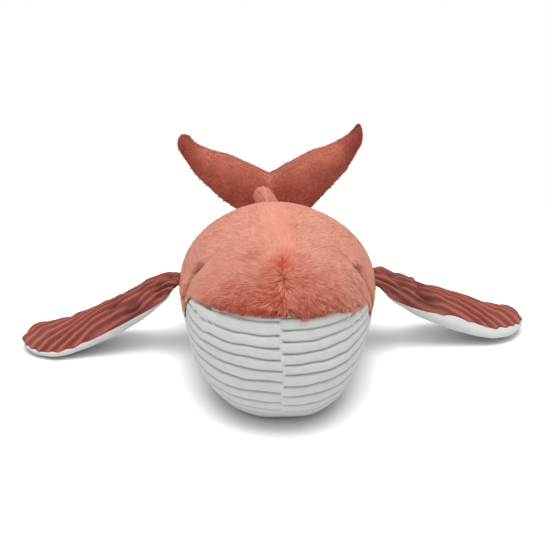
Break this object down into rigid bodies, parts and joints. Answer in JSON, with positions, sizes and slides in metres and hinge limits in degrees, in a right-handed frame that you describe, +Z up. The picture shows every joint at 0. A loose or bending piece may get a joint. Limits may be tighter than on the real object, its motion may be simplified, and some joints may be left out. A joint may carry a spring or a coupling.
{
  "type": "plush whale",
  "caption": "Stuffed whale toy with a long-pile back, a ribbed belly, two floppy side fins, a small back fin and a two-lobed tail.",
  "frame": {"origin": "on the floor, under the middle of the whole toy", "axes": "+Z up, nose towards -Y, the whale's own left side at +X"},
  "size_m": [0.4248, 0.4048, 0.1282],
  "materials": {
    "coral_fur": "matte",
    "belly_cord": "matte",
    "fin_cord": "matte",
    "white_plush": "matte",
    "fluke_plush": "matte",
    "stuffing": "matte",
    "eye_plastic": "gloss",
    "washer_plastic": "satin"
  },
  "bodies": {
    "body": {"body_stuffing": "stuffing", "back_cover_left": "coral_fur", "back_cover_right": "coral_fur", "belly_cover_left": "belly_cord", "belly_cover_right": "belly_cord", "eye_left": "eye_plastic", "eye_right": "eye_plastic", "eye_washer_left": "washer_plastic", "eye_washer_right": "washer_plastic"},
    "fin_left": {"fin_left_top": "fin_cord", "fin_left_underside": "white_plush", "fin_left_stuffing": "stuffing"},
    "fin_right": {"fin_right_top": "fin_cord", "fin_right_underside": "white_plush", "fin_right_stuffing": "stuffing"},
    "fluke": {"fluke_left_top": "fluke_plush", "fluke_left_underside": "fluke_plush", "fluke_left_stuffing": "stuffing", "fluke_right_top": "fluke_plush", "fluke_right_underside": "fluke_plush", "fluke_right_stuffing": "stuffing"},
    "dorsal_fin": {"dorsal_fin_left": "coral_fur", "dorsal_fin_right": "coral_fur"}
  },
  "joints": [
    {"name": "fin_left_flap", "type": "hinge", "parent": "body", "child": "fin_left", "pos_m": [0.08129, -0.0333, 0.05842], "axis": [0, -1, 0], "range_deg": [-35, 75]},
    {"name": "fin_right_flap", "type": "hinge", "parent": "body", "child": "fin_right", "pos_m": [-0.08231, -0.0333, 0.05842], "axis": [0, 1, 0], "range_deg": [-35, 75]},
    {"name": "fluke_bend", "type": "hinge", "parent": "body", "child": "fluke", "pos_m": [-0.008, 0.1333, 0.05904], "axis": [1, 0, 0], "range_deg": [-35, 30], "stiffness_Nm_per_rad": 0.3, "springref_deg": 0.86},
    {"name": "dorsal_fin_lean", "type": "hinge", "parent": "body", "child": "dorsal_fin", "pos_m": [-0.00909, 0.05217, 0.09437], "axis": [0, 0.896, -0.444], "range_deg": [-25, 25], "stiffness_Nm_per_rad": 0.02}
  ]
}
